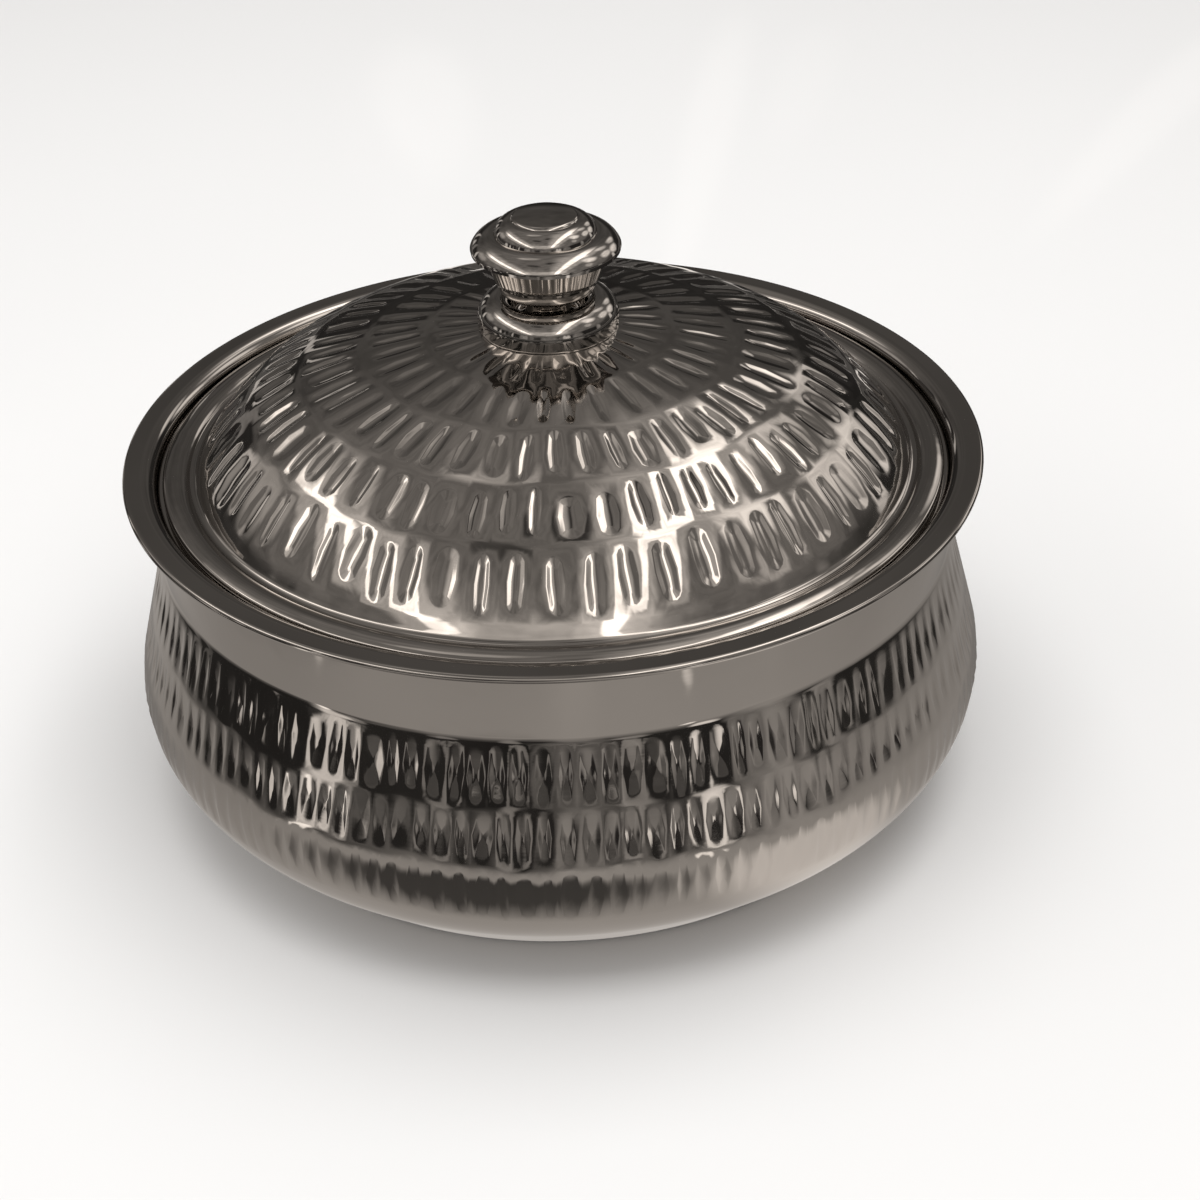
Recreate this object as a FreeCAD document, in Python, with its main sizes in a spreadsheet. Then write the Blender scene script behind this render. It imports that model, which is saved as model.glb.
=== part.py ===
"""Insulated chapati casserole: a hammered, double-walled steel pot with a domed lift-off lid.

All lengths are in millimetres. The axis of the casserole is Z, and it stands on Z = 0. Every sheet-metal
piece is a sketched line of one of its faces, thickened to the gauge of the sheet and turned about the axis.
"""
import FreeCAD, Part
import math
import os
import re

import Sketcher

os.makedirs("parts", exist_ok=True)
doc = FreeCAD.newDocument("chapati_casserole")
Vector = FreeCAD.Vector
UPRIGHT = FreeCAD.Placement(Vector(0, 0, 0), FreeCAD.Rotation(Vector(1, 0, 0), 90))

# ---------------------------------------------------------------------------------------------------------
# Driving dimensions
# ---------------------------------------------------------------------------------------------------------
DIMENSIONS = [
    ("shell_skin", 0.8, "gauge of the outer shell"),
    ("recess_rise", 2.5, "height of the pressed-up middle of the base"),
    ("recess_radius", 82, "radius of the pressed-up middle of the base"),
    ("recess_slope", 4, "width of the sloping wall round the recess"),
    ("foot_corner", 99.1, "radius at which the foot and the lower cone would meet"),
    ("foot_bend", 3, "bend between the foot and the lower cone"),
    ("cone_angle", 45, "slope of the lower cone"),
    ("belly_centre", 94.4, "radius of the centre of the belly's curve"),
    ("belly_height", 35.2, "height of the centre of the belly's curve"),
    ("belly_bend", 28.2, "radius of the belly's curve"),
    ("shoulder_lean", 15.2, "lean of the shoulder above the belly"),
    ("crease_radius", 112.2, "radius of the crease between shoulder and neck"),
    ("neck_radius", 112.4, "outer radius at the top of the neck"),
    ("flare_height", 97, "height at which the neck starts to flare"),
    ("flare_bend", 2.5, "bend between the neck and the flange"),
    ("hem_centre", 119, "radius of the centre of the rim's hem"),
    ("hem_return", 1.8, "width of the sheet turned back under the hem"),
    ("flange_edge", 0.2, "step from the hem's centre to the edge of the shell's flange"),
    ("bowl_skin", 0.6, "gauge of the inner bowl"),
    ("well_floor", 22, "height of the bowl's inner floor"),
    ("well_radius", 97, "inner radius of the bowl just above its floor bend"),
    ("well_bend", 14, "inner bend between the bowl's floor and wall"),
    ("mouth_radius", 100.5, "inner radius of the bowl at its mouth"),
    ("mouth_bend", 4, "bend between the bowl's wall and the seat"),
    ("seat_height", 96, "height of the seat for the lid"),
    ("seat_corner", 1, "bend between the seat and the flare"),
    ("fill_hole", 8, "radius of the hole that the foam is poured through"),
    ("plug_head", 11, "radius of the plug's head"),
    ("plug_head_rise", 1.2, "thickness of the plug's head"),
    ("plug_barb", 0.5, "step of the plug's barb over the hole"),
    ("plug_stem", 3.5, "length of the plug's stem"),
    ("cover_skin", 0.8, "gauge of the lid's cover"),
    ("stud_hole", 3.3, "radius of the holes for the knob's stud"),
    ("crown_height", 136.5, "height of the top of the dome"),
    ("crown_bend", 215, "radius of curvature of the dome's crown"),
    ("crown_slope", 16.8, "slope at which the crown gives way to the shoulder"),
    ("dome_bend", 65.8, "radius of curvature of the dome's shoulder"),
    ("dome_foot_angle", 59, "slope of the dome at its foot"),
    ("channel_bend", 2, "bend between the dome's foot and the channel"),
    ("bead_inner_bend", 1.2, "bend between the channel and the bead"),
    ("bead_slope", 50, "slope of the bead's inner side"),
    ("bead_bend", 4.2, "curve of the bead inside its crest"),
    ("bead_outer_bend", 8, "curve of the bead outside its crest"),
    ("bead_fall", 25, "slope of the bead where it turns into the lid's hem"),
    ("lid_hem_return", 2, "width of the sheet turned back under the lid's hem"),
    ("liner_skin", 0.6, "gauge of the lid's liner"),
    ("liner_slope", 22, "slope of the liner's dish where it meets its bend"),
    ("liner_wall", 99.5, "outer radius of the liner's step into the mouth"),
    ("liner_bend", 3.5, "bend round the lowest part of the liner"),
    ("liner_corner", 0.5, "bend between the liner's step and its flat"),
    ("liner_flat_end", 102, "radius at which the liner's flat ends"),
    ("liner_rise_end", 105.4, "radius at which the liner reaches its flange"),
    ("ring_skin", 0.8, "gauge of the ring under the knob"),
    ("ring_floor", 7.5, "radius of the ring's dished floor"),
    ("ring_dish_bend", 2.5, "bend between the ring's floor and its inner wall"),
    ("ring_slope", 80, "slope of the ring's inner wall"),
    ("ring_wall_rise", 2.6, "height of the ring's inner wall"),
    ("ring_inner_bend", 3, "curve of the ring inside its crest"),
    ("ring_bead_bend", 6, "curve of the ring outside its crest"),
    ("ring_side_drop", 2.3, "height of the ring's upright side"),
    ("ring_edge_bend", 1, "curve of the ring under its side"),
    ("ring_edge_slope", 120, "direction of the ring's edge, where it meets the dome"),
    ("knob_skin", 0.8, "gauge of the two halves of the knob"),
    ("knob_neck", 6.2, "outer radius of the knob's neck"),
    ("knob_neck_foot", 0.8, "bend under the knob's neck"),
    ("knob_neck_rise", 3.4, "height of the knob's neck"),
    ("knob_neck_flare", 5.1, "bend from the neck into the cup"),
    ("cup_bend", 2, "curve of the cup's lower part"),
    ("cup_slope", 68, "slope of the cup's wall"),
    ("cup_wall_rise", 9.8, "height of the cup's wall"),
    ("cup_lip_bend", 1.2, "bend from the cup's wall into its flange"),
    ("cup_flange", 20.2, "outer radius of the cup's flange"),
    ("cap_foot", 20.35, "radius of the cap where it stands on the cup's flange"),
    ("cap_edge_bend", 1.5, "curve of the cap over its widest line"),
    ("cap_side_slope", 115, "direction of the cap where its edge meets the lower tier"),
    ("cap_lower_bend", 6.2, "curve of the cap's lower tier"),
    ("cap_lower_end", 186, "direction of the lower tier where it meets the upper one"),
    ("cap_upper_start", 102, "direction of the upper tier at its foot"),
    ("cap_upper_bend", 5, "curve of the cap's upper tier"),
    ("cap_upper_end", 178, "direction of the upper tier where it meets the button"),
    ("button_start", 112, "direction of the button's side at its foot"),
    ("button_side_bend", 1.2, "curve of the button's side"),
    ("button_top_slope", 8, "slope of the button's top at its side"),
    ("stud_radius", 3, "radius of the stud's thread"),
    ("stud_head", 5.2, "radius of the stud's head"),
    ("stud_head_rise", 2, "thickness of the stud's head"),
    ("stud_tail", 2, "length of thread below the nut"),
    ("stud_chamfer", 0.6, "chamfer on the end of the stud"),
    ("washer_radius", 8, "outer radius of the washer"),
    ("washer_hole", 3.2, "radius of the washer's hole"),
    ("washer_rise", 1.2, "thickness of the washer"),
    ("nut_flats", 10, "width across the nut's flats"),
    ("nut_rise", 5, "height of the nut"),
]

sizes = doc.addObject("Spreadsheet::Sheet", "sizes")
for row, (alias, number, meaning) in enumerate(DIMENSIONS, start=1):
    sizes.set(f"A{row}", meaning)
    sizes.set(f"B{row}", str(number))
    sizes.setAlias(f"B{row}", alias)
doc.recompute()


# ---------------------------------------------------------------------------------------------------------
# Sketching
# ---------------------------------------------------------------------------------------------------------
def linked(formula):
    """Return the formula with every alias, which always holds an underscore, read from the sheet."""
    return re.sub(r"\b([a-z]+_[a-z_]+)\b", r"sizes.\1", formula)


def worked_out(formula):
    """Return the number that the formula gives with the sheet's present values."""
    return float(sizes.evalExpression(linked(formula)))


def arc_between(start, end, radius, turn):
    """Return the arc from start to end that turns left (turn = 1) or right (turn = -1)."""
    chord = end - start
    across = Vector(-chord.y, chord.x, 0).normalize() * turn
    centre = (start + end) * 0.5 + across * math.sqrt(radius ** 2 - (chord.Length / 2) ** 2)
    first, last = (start, end) if turn > 0 else (end, start)
    from_angle = math.atan2(first.y - centre.y, first.x - centre.x)
    to_angle = math.atan2(last.y - centre.y, last.x - centre.x)
    if to_angle < from_angle:
        to_angle += 2 * math.pi
    return Part.ArcOfCircle(Part.Circle(centre, Vector(0, 0, 1), radius), from_angle, to_angle)


def bind(sketch, kind, references, formula, name):
    """Add a dimension to the sketch and tie it to the sheet."""
    index = sketch.addConstraint(Sketcher.Constraint(kind, *references, worked_out(formula)))
    sketch.renameConstraint(index, name)
    sketch.setExpression(f"Constraints.{name}", linked(formula))


def draw(sketch, path, closed=False):
    """Draw a path of (radius, height) corners; a corner reached by an arc adds its bend and its turn."""
    corners = [Vector(worked_out(corner[0]), worked_out(corner[1]), 0) for corner in path]
    runs = []
    last = len(path) if closed else len(path) - 1
    for index in range(last):
        start, end = corners[index], corners[(index + 1) % len(path)]
        target = path[(index + 1) % len(path)]
        if len(target) == 2 or index + 1 == len(path):
            edge = sketch.addGeometry(Part.LineSegment(start, end))
            runs.append((edge, 1, 2))
        else:
            bend, turn = target[2], target[3]
            edge = sketch.addGeometry(arc_between(start, end, worked_out(bend), turn))
            bind(sketch, "Radius", (edge,), bend, f"bend_{index}")
            runs.append((edge, 1, 2) if turn > 0 else (edge, 2, 1))
    for index in range(1, len(runs)):
        before, after = runs[index - 1], runs[index]
        sketch.addConstraint(Sketcher.Constraint("Coincident", before[0], before[2], after[0], after[1]))
    if closed:
        before, after = runs[-1], runs[0]
        sketch.addConstraint(Sketcher.Constraint("Coincident", before[0], before[2], after[0], after[1]))
    for index, corner in enumerate(path):
        edge, point = (runs[index][0], runs[index][1]) if index < len(runs) else (runs[-1][0], runs[-1][2])
        place(sketch, edge, point, corner[0], "DistanceX", -2, f"out_{index}")
        place(sketch, edge, point, corner[1], "DistanceY", -1, f"up_{index}")


def place(sketch, edge, point, formula, kind, axis, name):
    """Fix one coordinate of a corner: on the axis where it is 0, else by a dimension from the origin."""
    if formula == "0":
        sketch.addConstraint(Sketcher.Constraint("PointOnObject", edge, point, axis))
    else:
        bind(sketch, kind, (-1, 1, edge, point), formula, name)


LEFT, RIGHT = 1, -1


def bent(corner, bend, before, after):
    """The corner where a bend ends that turns a line from one direction to another, in degrees."""
    turn = LEFT if worked_out(f"{after} - ({before})") > 0 else RIGHT
    sign = "+" if turn == LEFT else "-"
    return (
        f"{corner[0]} {sign} ({bend}) * (sin({after}) - sin({before}))",
        f"{corner[1]} {sign} ({bend}) * (cos({before}) - cos({after}))",
        bend,
        turn,
    )


# ---------------------------------------------------------------------------------------------------------
# Ways of making a piece
# ---------------------------------------------------------------------------------------------------------
def upright_sketch(name, path, closed=False):
    sketch = doc.addObject("Sketcher::SketchObject", name)
    sketch.Placement = UPRIGHT
    draw(sketch, path, closed)
    return sketch


def turned(label, source):
    turning = doc.addObject("Part::Revolution", label)
    turning.Label = label
    turning.Source = source
    turning.Axis = (0, 0, 1)
    turning.Angle = 360
    turning.Solid = True
    return turning


def sheet_piece(label, path, gauge, side):
    """A spun sheet: the line of one face, thickened to its left or right, turned about the axis."""
    line = upright_sketch(f"{label}_line", path)
    section = doc.addObject("Part::Offset2D", f"{label}_section")
    section.Source = line
    section.setExpression("Value", linked(gauge))
    section.Mode = "Skin"
    section.Join = "Arc"
    section.Fill = True
    doc.recompute()
    if not section.Shape.isInside(inside_point(path, gauge, side), worked_out(gauge) / 100, True):
        section.setExpression("Value", linked(f"-{gauge}"))
    return turned(label, section)


def inside_point(path, gauge, side):
    """A point in the metal beside the start of the path, half the gauge along it and half to its side."""
    start, end = (Vector(worked_out(corner[0]), 0, worked_out(corner[1])) for corner in path[:2])
    along = (end - start).normalize() * (worked_out(gauge) / 2)
    return start + along + Vector(-along.z, 0, along.x) * side


def turned_body(label, path):
    """A turned piece: a closed outline in a body, revolved about the axis."""
    body = doc.addObject("PartDesign::Body", f"{label}_body")
    body.Label = label
    sketch = body.newObject("Sketcher::SketchObject", f"{label}_outline")
    plane = next(item for item in body.Origin.OriginFeatures if item.Role == "XZ_Plane")
    sketch.AttachmentSupport = [(plane, "")]
    sketch.MapMode = "FlatFace"
    draw(sketch, path, closed=True)
    turning = body.newObject("PartDesign::Revolution", f"{label}_turning")
    turning.Profile = sketch
    turning.ReferenceAxis = (sketch, ["V_Axis"])
    turning.Angle = 360
    return body


def poured_foam(label, path, neighbours):
    """Foam that fills the space between two skins: a blank up to their outer faces, less all it meets."""
    foam = turned(f"{label}_blank", upright_sketch(f"{label}_outline", path, closed=True))
    for neighbour in neighbours:
        trimmed = doc.addObject("Part::Cut", f"{label}_less_{neighbour.Label}")
        trimmed.Base = foam
        trimmed.Tool = neighbour
        foam = trimmed
    foam.Label = label
    return foam


# ---------------------------------------------------------------------------------------------------------
# Body
# ---------------------------------------------------------------------------------------------------------
# The outer face of the shell, from the fill hole out along the foot, up over the belly and the shoulder
# to the crease, then up the neck and out along the flange.
shoulder_top = ("belly_centre + belly_bend * cos(shoulder_lean)", "belly_height + belly_bend * sin(shoulder_lean)")
crease_height = f"{shoulder_top[1]} + ({shoulder_top[0]} - crease_radius) / tan(shoulder_lean)"
foot_tangent = "foot_bend * tan(cone_angle / 2)"
shell_foot = [
    ("recess_radius", "recess_rise"),
    ("recess_radius + recess_slope", "0"),
    (f"foot_corner - {foot_tangent}", "0"),
    (f"foot_corner + {foot_tangent} * cos(cone_angle)", f"{foot_tangent} * sin(cone_angle)", "foot_bend", LEFT),
    ("belly_centre + belly_bend * sin(cone_angle)", "belly_height - belly_bend * cos(cone_angle)"),
    (*shoulder_top, "belly_bend", LEFT),
    ("crease_radius", crease_height),
    ("neck_radius", "flare_height"),
]
shell_line = [
    ("fill_hole", "recess_rise"),
    *shell_foot,
    bent(("neck_radius", "flare_height"), "flare_bend", "90", "0"),
    ("hem_centre - flange_edge", "flare_height + flare_bend"),
]
outer_shell = sheet_piece("outer_shell", shell_line, "shell_skin", LEFT)

# The inner face of the bowl, from its middle out and up to the seat and the flare, over the flange and
# round its edge. The bowl's flange lies on the shell's and is folded under it.
hem_bend = "shell_skin / 2 + bowl_skin"
bowl_flare = "flare_bend + shell_skin + bowl_skin"
flare_start = ("neck_radius - shell_skin - bowl_skin", "flare_height")
flange_top = f"flare_height + {bowl_flare}"
seat_end = (f"{flare_start[0]} - seat_corner", "seat_height")
bowl_line = [
    ("0", "well_floor"),
    ("well_radius - well_bend", "well_floor"),
    ("well_radius", "well_floor + well_bend", "well_bend", LEFT),
    ("mouth_radius", "seat_height - mouth_bend"),
    ("mouth_radius + mouth_bend", "seat_height", "mouth_bend", RIGHT),
    seat_end,
    (*flare_start, "seat_corner", LEFT),
    bent(flare_start, bowl_flare, "90", "0"),
    ("hem_centre", flange_top),
    (f"hem_centre + {hem_bend}", f"{flange_top} - ({hem_bend})", hem_bend, RIGHT),
    ("hem_centre", f"{flange_top} - 2 * ({hem_bend})", hem_bend, RIGHT),
    ("hem_centre - hem_return", f"{flange_top} - 2 * ({hem_bend})"),
]
inner_bowl = sheet_piece("inner_bowl", bowl_line, "bowl_skin", RIGHT)

# The plug is pushed into the fill hole from below, and its barb grips the sheet.
plug_outline = [
    ("0", "recess_rise - plug_head_rise"),
    ("plug_head", "recess_rise - plug_head_rise"),
    ("plug_head", "recess_rise"),
    ("fill_hole", "recess_rise"),
    ("fill_hole", "recess_rise + shell_skin"),
    ("fill_hole + plug_barb", "recess_rise + shell_skin"),
    ("fill_hole - plug_barb", "recess_rise + plug_stem"),
    ("0", "recess_rise + plug_stem"),
]
base_fill_plug = turned_body("base_fill_plug", plug_outline)

body_foam_outline = [
    ("0", "recess_rise"),
    *shell_foot,
    flare_start,
    (*seat_end, "seat_corner", RIGHT),
    ("mouth_radius + mouth_bend", "seat_height"),
    ("mouth_radius", "seat_height - mouth_bend", "mouth_bend", LEFT),
    ("well_radius", "well_floor + well_bend"),
    ("well_radius - well_bend", "well_floor", "well_bend", RIGHT),
    ("0", "well_floor"),
]
body_insulation = poured_foam("body_insulation", body_foam_outline, [outer_shell, inner_bowl, base_fill_plug])

# ---------------------------------------------------------------------------------------------------------
# Lid
# ---------------------------------------------------------------------------------------------------------
# The upper face of the cover: a flat crown, a rounder shoulder, a channel, a bead and a hem.
crown_edge = bent(("0", "crown_height"), "crown_bend", "0", "-crown_slope")
dome_foot = bent(crown_edge, "dome_bend", "-crown_slope", "-dome_foot_angle")
channel = bent(dome_foot, "channel_bend", "-dome_foot_angle", "0")
bead_side = bent(channel, "bead_inner_bend", "0", "bead_slope")
bead_crest = bent(bead_side, "bead_bend", "bead_slope", "0")
bead_end = bent(bead_crest, "bead_outer_bend", "0", "-bead_fall")
lid_hem_bend = "liner_skin / 2 + cover_skin"
lid_edge = bent(bead_end, lid_hem_bend, "-bead_fall", "-90")
lid_hem = bent(lid_edge, lid_hem_bend, "-90", "-180")
cover_dome = [crown_edge, dome_foot, channel]
hole_edge = "crown_height - crown_bend + sqrt(crown_bend ^ 2 - stud_hole ^ 2)"
cover_line = [
    ("stud_hole", hole_edge),
    *cover_dome,
    bead_side,
    bead_crest,
    bead_end,
    lid_edge,
    lid_hem,
    (f"{lid_hem[0]} - lid_hem_return", lid_hem[1]),
]
lid_cover = sheet_piece("lid_cover", cover_line, "cover_skin", RIGHT)

# The lower face of the liner: a shallow dish, a step that drops into the mouth, a flat under the
# cover's channel and a flange that is held in the cover's hem.
liner_flat = f"{channel[1]} - cover_skin - liner_skin"
liner_bend_height = f"{liner_flat} - liner_corner"
dish_end = (
    "liner_wall - liner_bend * (1 + sin(liner_slope))",
    f"{liner_bend_height} - liner_bend * cos(liner_slope)",
)
dish_bend = f"({dish_end[0]}) / sin(liner_slope)"
liner_crown = f"{dish_end[1]} + {dish_bend} * (1 - cos(liner_slope))"
liner_flange = f"{lid_hem[1]} + cover_skin"
liner_line = [
    ("0", liner_crown),
    (*dish_end, dish_bend, RIGHT),
    ("liner_wall", liner_bend_height, "liner_bend", LEFT),
    ("liner_wall + liner_corner", liner_flat, "liner_corner", RIGHT),
    ("liner_flat_end", liner_flat),
    ("liner_rise_end", liner_flange),
    (lid_hem[0], liner_flange),
]
lid_liner = sheet_piece("lid_liner", liner_line, "liner_skin", LEFT)

# ---------------------------------------------------------------------------------------------------------
# Knob
# ---------------------------------------------------------------------------------------------------------
# The ring is a pressed dish with a high rounded rim, and its edge stands on the dome.
ring_top = "crown_height + ring_skin"
ring_wall = bent(("ring_floor", ring_top), "ring_dish_bend", "0", "ring_slope")
ring_wall_top = (f"{ring_wall[0]} + ring_wall_rise / tan(ring_slope)", f"{ring_wall[1]} + ring_wall_rise")
ring_crest = bent(ring_wall_top, "ring_inner_bend", "ring_slope", "0")
ring_side = bent(ring_crest, "ring_bead_bend", "0", "-90")
ring_side_foot = (ring_side[0], f"{ring_side[1]} - ring_side_drop")
ring_line = [
    ("stud_hole", ring_top),
    ("ring_floor", ring_top),
    ring_wall,
    ring_wall_top,
    ring_crest,
    ring_side,
    ring_side_foot,
    bent(ring_side_foot, "ring_edge_bend", "-90", "-ring_edge_slope"),
]
knob_base_ring = sheet_piece("knob_base_ring", ring_line, "ring_skin", RIGHT)

# The lower half of the knob stands on the ring: a neck, a cup and a flange.
neck_foot = bent(("knob_neck - knob_neck_foot", ring_top), "knob_neck_foot", "0", "90")
neck_end = ("knob_neck", f"{ring_top} + knob_neck_rise")
cup_floor = bent(neck_end, "knob_neck_flare", "90", "0")
cup_side = bent(cup_floor, "cup_bend", "0", "cup_slope")
cup_top = (f"{cup_side[0]} + cup_wall_rise / tan(cup_slope)", f"{cup_side[1]} + cup_wall_rise")
cup_lip = bent(cup_top, "cup_lip_bend", "cup_slope", "0")
cup_line = [
    ("stud_hole", ring_top),
    ("knob_neck - knob_neck_foot", ring_top),
    neck_foot,
    neck_end,
    cup_floor,
    cup_side,
    cup_top,
    cup_lip,
    ("cup_flange", cup_lip[1]),
]
knob_cup = sheet_piece("knob_cup", cup_line, "knob_skin", LEFT)

# The upper half is closed over the cup: an edge, two rounded tiers and a button.
cap_foot = ("cap_foot", f"{cup_lip[1]} + knob_skin")
cap_side = bent(cap_foot, "cap_edge_bend", "90", "cap_side_slope")
cap_step = bent(cap_side, "cap_lower_bend", "cap_side_slope", "cap_lower_end")
button_foot = bent(cap_step, "cap_upper_bend", "cap_upper_start", "cap_upper_end")
button_edge = bent(button_foot, "button_side_bend", "button_start", "180 - button_top_slope")
button_top_bend = f"({button_edge[0]}) / sin(button_top_slope)"
button_top = f"{button_edge[1]} + {button_top_bend} * (1 - cos(button_top_slope))"
cap_line = [
    cap_foot,
    cap_side,
    cap_step,
    button_foot,
    button_edge,
    ("0", button_top, button_top_bend, LEFT),
]
knob_cap = sheet_piece("knob_cap", cap_line, "knob_skin", LEFT)

# The stud's head lies inside the neck of the cup, and the nut pulls it down against the dome.
stud_seat = f"{ring_top} + knob_skin"
washer_top = "crown_height - crown_bend + sqrt((crown_bend - cover_skin) ^ 2 - washer_radius ^ 2)"
nut_top = f"{washer_top} - washer_rise"
stud_end = f"{nut_top} - nut_rise - stud_tail"
stud_outline = [
    ("0", stud_end),
    ("stud_radius - stud_chamfer", stud_end),
    ("stud_radius", f"{stud_end} + stud_chamfer"),
    ("stud_radius", stud_seat),
    ("stud_head", stud_seat),
    ("stud_head", f"{stud_seat} + stud_head_rise"),
    ("0", f"{stud_seat} + stud_head_rise"),
]
knob_stud = turned_body("knob_stud", stud_outline)

washer_outline = [
    ("washer_hole", nut_top),
    ("washer_radius", nut_top),
    ("washer_radius", washer_top),
    ("washer_hole", washer_top),
]
knob_washer = turned_body("knob_washer", washer_outline)


def hexagon(sketch, across_flats):
    """A regular hexagon about the origin, sized by the circle that its sides touch."""
    flats = worked_out(across_flats)
    corners = [
        Vector(flats / math.sqrt(3) * math.cos(math.radians(60 * k)),
               flats / math.sqrt(3) * math.sin(math.radians(60 * k)), 0)
        for k in range(6)
    ]
    guide = sketch.addGeometry(Part.Circle(Vector(0, 0, 0), Vector(0, 0, 1), flats / 2), True)
    sketch.addConstraint(Sketcher.Constraint("Coincident", guide, 3, -1, 1))
    bind(sketch, "Radius", (guide,), f"{across_flats} / 2", "half_flats")
    sides = [sketch.addGeometry(Part.LineSegment(corners[k], corners[(k + 1) % 6])) for k in range(6)]
    for k, side in enumerate(sides):
        sketch.addConstraint(Sketcher.Constraint("Coincident", side, 2, sides[(k + 1) % 6], 1))
        sketch.addConstraint(Sketcher.Constraint("Tangent", side, guide))
        if k:
            sketch.addConstraint(Sketcher.Constraint("Equal", sides[0], side))
    sketch.addConstraint(Sketcher.Constraint("PointOnObject", sides[0], 1, -1))


nut_body = doc.addObject("PartDesign::Body", "knob_nut_body")
nut_body.Label = "knob_nut"
nut_sketch = nut_body.newObject("Sketcher::SketchObject", "knob_nut_outline")
nut_plane = next(item for item in nut_body.Origin.OriginFeatures if item.Role == "XY_Plane")
nut_sketch.AttachmentSupport = [(nut_plane, "")]
nut_sketch.MapMode = "FlatFace"
nut_sketch.setExpression("AttachmentOffset.Base.z", linked(f"{nut_top} - nut_rise"))
hexagon(nut_sketch, "nut_flats")
bore = nut_sketch.addGeometry(Part.Circle(Vector(0, 0, 0), Vector(0, 0, 1), worked_out("stud_radius")))
nut_sketch.addConstraint(Sketcher.Constraint("Coincident", bore, 3, -1, 1))
bind(nut_sketch, "Radius", (bore,), "stud_radius", "thread")
nut_pad = nut_body.newObject("PartDesign::Pad", "knob_nut_pad")
nut_pad.Profile = nut_sketch
nut_pad.setExpression("Length", linked("nut_rise"))
knob_nut = nut_body

lid_foam_outline = [
    ("0", nut_top),
    ("washer_radius", nut_top),
    ("washer_radius", "crown_height - crown_bend + sqrt(crown_bend ^ 2 - washer_radius ^ 2)"),
    *cover_dome,
    (channel[0], liner_flat),
    ("liner_wall + liner_corner", liner_flat),
    ("liner_wall", liner_bend_height, "liner_corner", LEFT),
    (*dish_end, "liner_bend", RIGHT),
    ("0", liner_crown, dish_bend, LEFT),
]
lid_insulation = poured_foam(
    "lid_insulation", lid_foam_outline, [lid_cover, lid_liner, knob_stud, knob_washer, knob_nut]
)

# ---------------------------------------------------------------------------------------------------------
# Checks and files
# ---------------------------------------------------------------------------------------------------------
doc.recompute()
for item in doc.Objects:
    if "Invalid" in item.State or "Error" in item.State:
        raise RuntimeError(f"{item.Label} failed: {item.State}")

pieces = [
    outer_shell, inner_bowl, body_insulation, base_fill_plug,
    lid_cover, lid_liner, lid_insulation,
    knob_base_ring, knob_cup, knob_cap, knob_stud, knob_washer, knob_nut,
]
for piece in pieces:
    if piece.Shape.isNull() or not piece.Shape.isValid():
        raise RuntimeError(f"{piece.Label} has no valid shape")

for piece in pieces:
    piece.Shape.exportStep(os.path.join("parts", f"{piece.Label}.step"))
    print(f"{piece.Label}: {len(piece.Shape.Solids)} solid, {piece.Shape.Volume:.0f} mm3")
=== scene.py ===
import math
import random
import bmesh
import bpy
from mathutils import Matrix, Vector, noise


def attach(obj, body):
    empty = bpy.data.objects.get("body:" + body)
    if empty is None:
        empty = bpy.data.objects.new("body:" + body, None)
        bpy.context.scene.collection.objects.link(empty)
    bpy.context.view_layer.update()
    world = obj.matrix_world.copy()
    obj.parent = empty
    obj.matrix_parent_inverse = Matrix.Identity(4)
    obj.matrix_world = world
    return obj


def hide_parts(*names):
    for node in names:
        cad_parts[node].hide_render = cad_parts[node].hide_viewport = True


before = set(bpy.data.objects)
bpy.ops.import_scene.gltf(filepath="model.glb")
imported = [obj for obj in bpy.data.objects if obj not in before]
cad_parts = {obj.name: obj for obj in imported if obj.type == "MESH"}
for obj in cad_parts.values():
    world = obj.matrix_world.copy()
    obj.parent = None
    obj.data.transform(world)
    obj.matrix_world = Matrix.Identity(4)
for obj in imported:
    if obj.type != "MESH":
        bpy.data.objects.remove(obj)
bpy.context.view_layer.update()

# --------------------------------------------------------------------------------------------------
# Outer shell
# One sheet of stainless steel, pressed to a round belly under a straight neck. Three rows of upright
# marks are hammered into the belly from outside, and the whole sheet is then polished to a mirror.
# --------------------------------------------------------------------------------------------------
MM = 0.001                  # the pieces' sizes are in mm from here on, and their slopes in degrees
SHEET_STEPS = 288           # faces round a large sheet
BEND_STEP = 7.5             # degrees of a bend from one ring of the sheet to the next
CRISP = 0.5                 # from a bend to the first ring of the straight wall beside it
LONG = 4 * CRISP            # a straight wall that is longer than this gets such a ring at each end
WELD = 0.001                # points that lie closer than this are one


def bend(outline, radius, start, end, step=BEND_STEP):
    """Carries an outline of (radius, height) points round a bend between two headings."""
    r, z = outline[-1]
    turn = math.copysign(radius, end - start)
    centre_r = r - turn * math.sin(math.radians(start))
    centre_z = z + turn * math.cos(math.radians(start))
    count = max(2, math.ceil(abs(end - start) / step))
    for k in range(1, count + 1):
        heading = math.radians(start + (end - start) * k / count)
        outline.append((centre_r + turn * math.sin(heading), centre_z - turn * math.cos(heading)))


def run(outline, r, z):
    """Carries an outline straight on to a point."""
    start, end = Vector(outline[-1]), Vector((r, z))
    length = (end - start).length
    if length > LONG:
        outline.append(tuple(start.lerp(end, CRISP / length)))
        outline.append(tuple(end.lerp(start, CRISP / length)))
    outline.append((r, z))


def back_face(line, gauge):
    """The other face of a bent sheet: the drawn line set off to its left by the gauge."""
    back = []
    for before, here, after in zip([line[0], *line], line, [*line[1:], line[-1]]):
        arriving = (Vector(here) - Vector(before)).normalized()
        leaving = (Vector(after) - Vector(here)).normalized()
        ahead = (arriving + leaving).normalized()
        back.append((max(here[0] - gauge * ahead.y, 0) if here[0] else 0, here[1] + gauge * ahead.x))
    return back


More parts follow.
